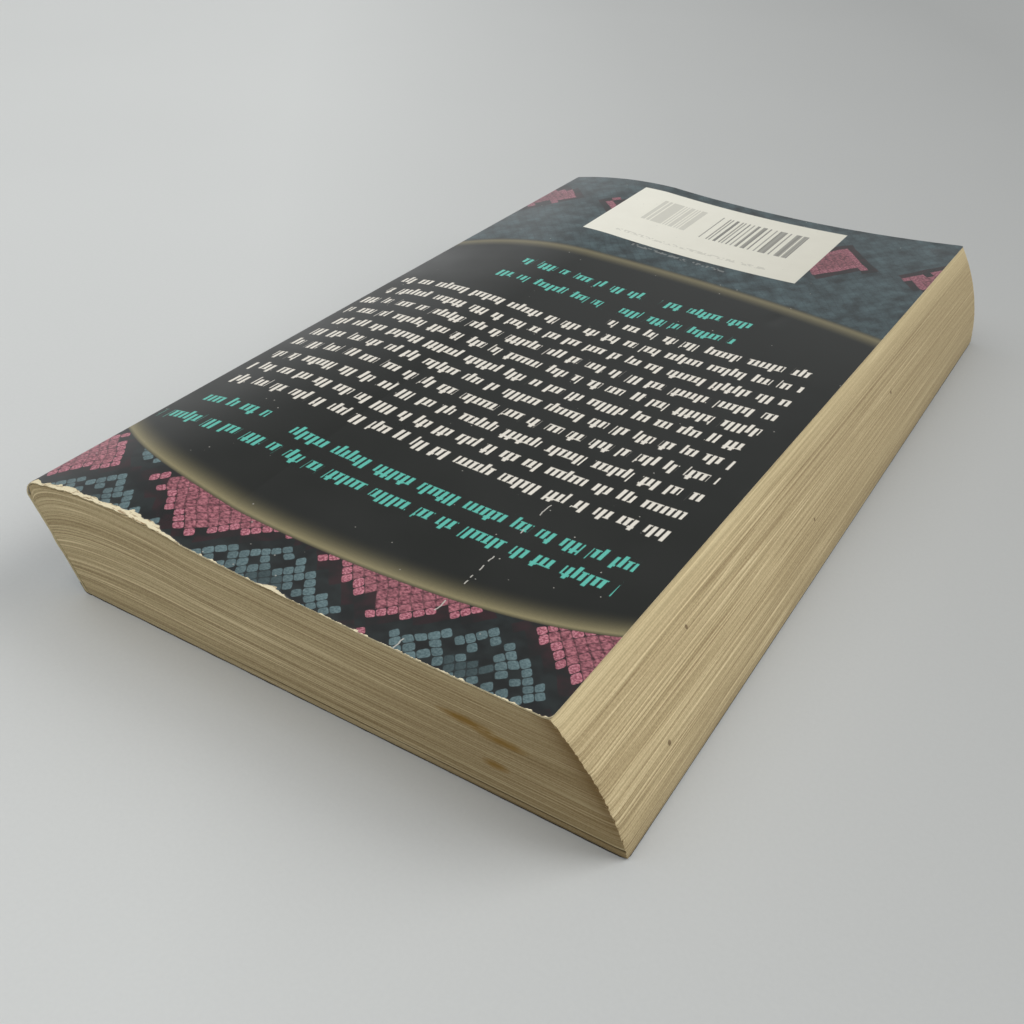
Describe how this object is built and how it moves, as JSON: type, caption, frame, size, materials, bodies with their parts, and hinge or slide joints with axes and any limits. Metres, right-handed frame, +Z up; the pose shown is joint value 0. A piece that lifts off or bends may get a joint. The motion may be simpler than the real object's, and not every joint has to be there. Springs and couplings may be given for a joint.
{
  "type": "paperback book",
  "caption": "Closed paperback book lying on its front cover, with a leaning page block and two covers that open.",
  "frame": {"origin": "centre of the bounding box on the ground that the book lies on", "axes": "+Z up through the back cover, +Y from head to tail along the spine, +X from spine to fore-edge"},
  "size_m": [0.115, 0.1746, 0.0229],
  "materials": {
    "pages": "uncoated, aged",
    "binding_glue": "dull",
    "cover_card": "printed, gloss laminate"
  },
  "bodies": {
    "root": {"text_block": "pages", "spine_glue": "binding_glue", "spine_cover": "cover_card"},
    "back_cover": {"back_cover": "cover_card"},
    "front_cover": {"front_cover": "cover_card"}
  },
  "joints": [
    {"name": "back_cover_hinge", "type": "hinge", "parent": "root", "child": "back_cover", "pos_m": [-0.05235, 0, 0.01955], "axis": [-0.0355, -0.9993, 0.0155], "range_deg": [0, 180]},
    {"name": "front_cover_hinge", "type": "hinge", "parent": "root", "child": "front_cover", "pos_m": [-0.04855, 0, 0.00015], "axis": [0, 1, 0], "range_deg": [0, 180]}
  ]
}
